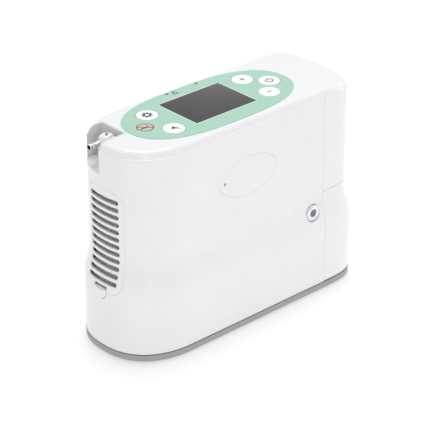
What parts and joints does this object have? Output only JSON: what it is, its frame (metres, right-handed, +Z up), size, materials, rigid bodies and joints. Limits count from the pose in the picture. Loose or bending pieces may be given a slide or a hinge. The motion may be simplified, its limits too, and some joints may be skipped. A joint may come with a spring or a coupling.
{
  "type": "oxygen concentrator",
  "caption": "Portable oxygen concentrator with a top control panel, nose air filter, side DC inlet, recessed outlet nozzle and slide-out battery.",
  "frame": {"origin": "centre of the footprint, on the surface that the feet stand on", "axes": "+X along the body towards the battery, +Z up; the DC inlet faces -Y"},
  "size_m": [0.222, 0.089, 0.1661],
  "materials": {
    "case_white": "satin moulded ABS",
    "button_white": "satin",
    "label_mint": "printed film",
    "screen_glass": "smooth acrylic window",
    "display_grey": "satin",
    "base_grey": "fine texture",
    "black_rubber": "matte",
    "lamp_red": "clear",
    "board_green": "solder mask",
    "filter_foam": "open-cell foam",
    "nickel": "bright nickel",
    "dark_plastic": "fine texture",
    "steel": "zinc plated",
    "battery_blue": "shrink sleeve",
    "aluminium": "bead blasted",
    "brass": "machined",
    "clear_tube": "soft silicone"
  },
  "bodies": {
    "case": {"main_housing": "case_white", "top_cover": "case_white", "rear_cover": "case_white", "nozzle_pocket": "case_white", "base_plate": "base_grey", "base_gasket": "black_rubber", "feet": "black_rubber", "control_label": "label_mint", "screen_lens": "screen_glass", "display_module": "display_grey", "status_lights": "lamp_red", "keypad_board": "board_green", "filter_foam": "filter_foam", "outlet_boss": "case_white", "outlet_nozzle": "nickel", "outlet_seal": "black_rubber", "dc_inlet_ring": "nickel", "dc_inlet_socket": "dark_plastic", "dc_inlet_pin": "nickel", "side_cover": "case_white", "side_cover_screw": "steel", "exhaust_grille": "case_white", "battery_contacts": "dark_plastic", "chassis": "steel", "rubber_mounts": "black_rubber", "motor_can": "aluminium", "crankcase": "aluminium", "pump_heads": "aluminium", "sieve_beds": "aluminium", "lower_manifold": "dark_plastic", "upper_manifold": "dark_plastic", "solenoid_valves": "brass", "product_tank": "aluminium", "exhaust_muffler": "dark_plastic", "fan_housing": "dark_plastic", "main_board": "board_green", "alarm_buzzer": "dark_plastic", "air_tubes": "clear_tube", "case_screws": "steel"},
    "settings_button": {"button_settings": "button_white"},
    "mute_button": {"button_mute": "button_white"},
    "plus_button": {"button_plus": "button_white"},
    "minus_button": {"button_minus": "button_white"},
    "power_button": {"button_power": "button_white"},
    "filter_door": {"filter_cover": "case_white"},
    "filter_catch": {"filter_latch": "case_white"},
    "battery_pack": {"battery_case": "case_white", "battery_cells": "battery_blue", "battery_connector": "dark_plastic"},
    "battery_catch": {"battery_release": "base_grey"},
    "fan": {"fan_rotor": "dark_plastic"},
    "motor_rotor": {"motor_shaft": "steel"}
  },
  "joints": [
    {"name": "settings_press", "type": "slide", "parent": "case", "child": "settings_button", "axis": [0, 0, -1], "range_m": [0, 0.0008], "stiffness_N_per_m": 600, "springref_m": -0.001},
    {"name": "mute_press", "type": "slide", "parent": "case", "child": "mute_button", "axis": [0, 0, -1], "range_m": [0, 0.0008], "stiffness_N_per_m": 600, "springref_m": -0.001},
    {"name": "plus_press", "type": "slide", "parent": "case", "child": "plus_button", "axis": [0, 0, -1], "range_m": [0, 0.0008], "stiffness_N_per_m": 600, "springref_m": -0.001},
    {"name": "minus_press", "type": "slide", "parent": "case", "child": "minus_button", "axis": [0, 0, -1], "range_m": [0, 0.0008], "stiffness_N_per_m": 600, "springref_m": -0.001},
    {"name": "power_press", "type": "slide", "parent": "case", "child": "power_button", "axis": [0, 0, -1], "range_m": [0, 0.0008], "stiffness_N_per_m": 600, "springref_m": -0.001},
    {"name": "filter_tilt", "type": "hinge", "parent": "case", "child": "filter_door", "pos_m": [-0.1065, 0, 0.1329], "axis": [0, 1, 0], "range_deg": [0, 40]},
    {"name": "filter_latch_slide", "type": "slide", "parent": "filter_door", "child": "filter_catch", "axis": [0, 0, 1], "range_m": [0, 0.002], "stiffness_N_per_m": 300, "springref_m": -0.001},
    {"name": "battery_slide", "type": "slide", "parent": "case", "child": "battery_pack", "axis": [1, 0, 0], "range_m": [0, 0.06]},
    {"name": "battery_release_press", "type": "slide", "parent": "battery_pack", "child": "battery_catch", "axis": [-1, 0, 0], "range_m": [0, 0.002], "stiffness_N_per_m": 400, "springref_m": -0.001},
    {"name": "fan_spin", "type": "hinge", "parent": "case", "child": "fan", "pos_m": [-0.0835, 0, 0.092], "axis": [1, 0, 0], "continuous": true},
    {"name": "motor_spin", "type": "hinge", "parent": "case", "child": "motor_rotor", "pos_m": [-0.03, 0, 0.046], "axis": [1, 0, 0], "continuous": true}
  ]
}
